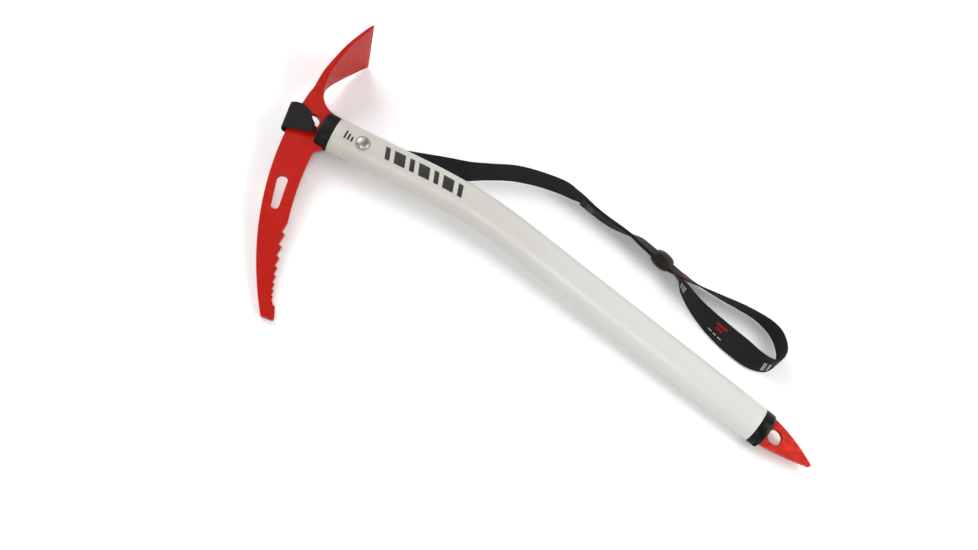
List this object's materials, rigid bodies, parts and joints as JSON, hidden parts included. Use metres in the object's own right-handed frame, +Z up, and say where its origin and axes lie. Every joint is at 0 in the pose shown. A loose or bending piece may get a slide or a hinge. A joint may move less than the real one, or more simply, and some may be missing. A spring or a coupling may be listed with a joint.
{
  "type": "ice axe",
  "caption": "Walking ice axe with toothed pick, fanned adze, bent oval shaft, spike and a webbing wrist leash with a slider, lying as put down.",
  "frame": {"origin": "middle of the lying axe in plan, without its leash, on the surface it lies on", "axes": "+Z up; +X along the grip from the head to the spike; +Y towards the adze; the pick points to -Y"},
  "size_m": [0.4927, 0.25, 0.0657],
  "materials": {
    "head_paint": "satin red paint over forged steel",
    "spike_paint": "satin red paint over steel plate",
    "collar_plastic": "moulded black nylon, matt",
    "filler_plastic": "moulded grey nylon, hidden in the tube",
    "rivet_steel": "bright domed steel rivet",
    "shaft_paint": "cream coating over aluminium tube",
    "webbing": "black woven polyester webbing, 20 mm",
    "slider_rubber": "black moulded rubber, matt",
    "thread": "black sewing thread"
  },
  "bodies": {
    "axe": {"head": "head_paint", "head_collar": "collar_plastic", "tang_filler_near": "filler_plastic", "tang_filler_far": "filler_plastic", "head_rivet": "rivet_steel", "shaft_tube": "shaft_paint", "spike": "spike_paint", "spike_ferrule": "collar_plastic", "spike_filler_near": "filler_plastic", "spike_filler_far": "filler_plastic", "strap_hitch": "webbing", "strap_tether": "webbing", "strap_return": "webbing", "wrist_loop": "webbing", "joint_bar_tack": "thread"},
    "slider": {"slider_bead": "slider_rubber"}
  },
  "joints": [
    {"name": "slider_along_strap", "type": "slide", "parent": "axe", "child": "slider", "axis": [0.9432, -0.3322, 0], "range_m": [-0.015, 0.003]}
  ]
}
